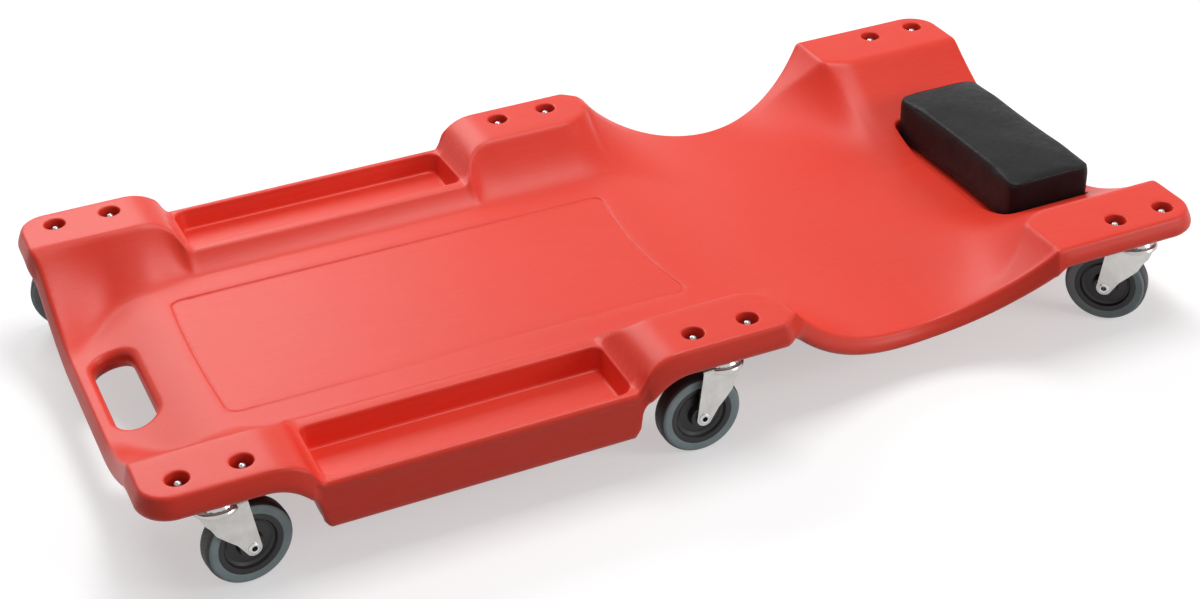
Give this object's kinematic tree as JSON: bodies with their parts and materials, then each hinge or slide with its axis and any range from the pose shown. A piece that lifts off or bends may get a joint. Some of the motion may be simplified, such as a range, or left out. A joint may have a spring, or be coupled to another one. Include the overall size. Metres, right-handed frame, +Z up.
{
  "type": "mechanic creeper",
  "caption": "Low moulded board on swivel casters, with a hand slot, side tool trays, dipped arm rests and a padded headrest, for lying under a vehicle.",
  "frame": {"origin": "on the floor below the middle of the board", "axes": "+X from the foot end to the head end, +Z up, +Y to the left of a person lying on their back with the head at the head end"},
  "size_m": [1, 0.496, 0.1195],
  "materials": {
    "board_plastic": "satin red moulded plastic with a fine grain",
    "vinyl": "black vinyl with a soft sheen",
    "foam": "open cushion foam",
    "plywood": "raw plywood",
    "zinc": "bright zinc plate",
    "washer_steel": "dull plated steel",
    "bright_steel": "polished",
    "rivet_steel": "bright zinc plate",
    "plate_steel": "zinc plate",
    "fork_steel": "satin zinc plate over pressed steel",
    "hub_plastic": "black satin plastic",
    "tyre_rubber": "blue-grey non-marking rubber"
  },
  "bodies": {
    "board": {"deck": "board_plastic", "headrest_cover": "vinyl", "headrest_foam": "foam", "headrest_base": "plywood", "headrest_screws": "zinc", "cover_staples": "zinc", "caster_bolts": "zinc", "bolt_washers": "washer_steel", "cap_nuts": "bright_steel", "kingpins": "rivet_steel", "top_plate_foot_right": "plate_steel", "top_plate_mid_right": "plate_steel", "top_plate_head_right": "plate_steel", "top_plate_foot_left": "plate_steel", "top_plate_mid_left": "plate_steel", "top_plate_head_left": "plate_steel", "race_balls_foot_right": "bright_steel", "race_balls_mid_right": "bright_steel", "race_balls_head_right": "bright_steel", "race_balls_foot_left": "bright_steel", "race_balls_mid_left": "bright_steel", "race_balls_head_left": "bright_steel"},
    "swivel_foot_right": {"fork_foot_right": "fork_steel", "axle_foot_right": "rivet_steel", "axle_bush_foot_right": "plate_steel"},
    "wheel_foot_right": {"hub_foot_right": "hub_plastic", "tyre_foot_right": "tyre_rubber"},
    "swivel_mid_right": {"fork_mid_right": "fork_steel", "axle_mid_right": "rivet_steel", "axle_bush_mid_right": "plate_steel"},
    "wheel_mid_right": {"hub_mid_right": "hub_plastic", "tyre_mid_right": "tyre_rubber"},
    "swivel_head_right": {"fork_head_right": "fork_steel", "axle_head_right": "rivet_steel", "axle_bush_head_right": "plate_steel"},
    "wheel_head_right": {"hub_head_right": "hub_plastic", "tyre_head_right": "tyre_rubber"},
    "swivel_foot_left": {"fork_foot_left": "fork_steel", "axle_foot_left": "rivet_steel", "axle_bush_foot_left": "plate_steel"},
    "wheel_foot_left": {"hub_foot_left": "hub_plastic", "tyre_foot_left": "tyre_rubber"},
    "swivel_mid_left": {"fork_mid_left": "fork_steel", "axle_mid_left": "rivet_steel", "axle_bush_mid_left": "plate_steel"},
    "wheel_mid_left": {"hub_mid_left": "hub_plastic", "tyre_mid_left": "tyre_rubber"},
    "swivel_head_left": {"fork_head_left": "fork_steel", "axle_head_left": "rivet_steel", "axle_bush_head_left": "plate_steel"},
    "wheel_head_left": {"hub_head_left": "hub_plastic", "tyre_head_left": "tyre_rubber"}
  },
  "joints": [
    {"name": "foot_right_swivel", "type": "hinge", "parent": "board", "child": "swivel_foot_right", "pos_m": [-0.4375, -0.22, 0.088], "axis": [0, 0, 1], "continuous": true},
    {"name": "foot_right_roll", "type": "hinge", "parent": "swivel_foot_right", "child": "wheel_foot_right", "pos_m": [-0.41571, -0.21694, 0.038], "axis": [-0.1392, 0.9903, 0], "continuous": true},
    {"name": "mid_right_swivel", "type": "hinge", "parent": "board", "child": "swivel_mid_right", "pos_m": [0.011, -0.22, 0.088], "axis": [0, 0, 1], "continuous": true},
    {"name": "mid_right_roll", "type": "hinge", "parent": "swivel_mid_right", "child": "wheel_mid_right", "pos_m": [-0.011, -0.21962, 0.038], "axis": [-0.0175, -0.9998, 0], "continuous": true},
    {"name": "head_right_swivel", "type": "hinge", "parent": "board", "child": "swivel_head_right", "pos_m": [0.4435, -0.22, 0.088], "axis": [0, 0, 1], "continuous": true},
    {"name": "head_right_roll", "type": "hinge", "parent": "swivel_head_right", "child": "wheel_head_right", "pos_m": [0.42822, -0.20417, 0.038], "axis": [-0.7193, -0.6947, 0], "continuous": true},
    {"name": "foot_left_swivel", "type": "hinge", "parent": "board", "child": "swivel_foot_left", "pos_m": [-0.4375, 0.22, 0.088], "axis": [0, 0, 1], "continuous": true},
    {"name": "foot_left_roll", "type": "hinge", "parent": "swivel_foot_left", "child": "wheel_foot_left", "pos_m": [-0.45875, 0.22569, 0.038], "axis": [-0.2588, -0.9659, 0], "continuous": true},
    {"name": "mid_left_swivel", "type": "hinge", "parent": "board", "child": "swivel_mid_left", "pos_m": [0.011, 0.22, 0.088], "axis": [0, 0, 1], "continuous": true},
    {"name": "mid_left_roll", "type": "hinge", "parent": "swivel_mid_left", "child": "wheel_mid_left", "pos_m": [-0.01079, 0.22306, 0.038], "axis": [-0.1392, -0.9903, 0], "continuous": true},
    {"name": "head_left_swivel", "type": "hinge", "parent": "board", "child": "swivel_head_left", "pos_m": [0.4435, 0.22, 0.088], "axis": [0, 0, 1], "continuous": true},
    {"name": "head_left_roll", "type": "hinge", "parent": "swivel_head_left", "child": "wheel_head_left", "pos_m": [0.46255, 0.209, 0.038], "axis": [0.5, 0.866, 0], "continuous": true}
  ]
}
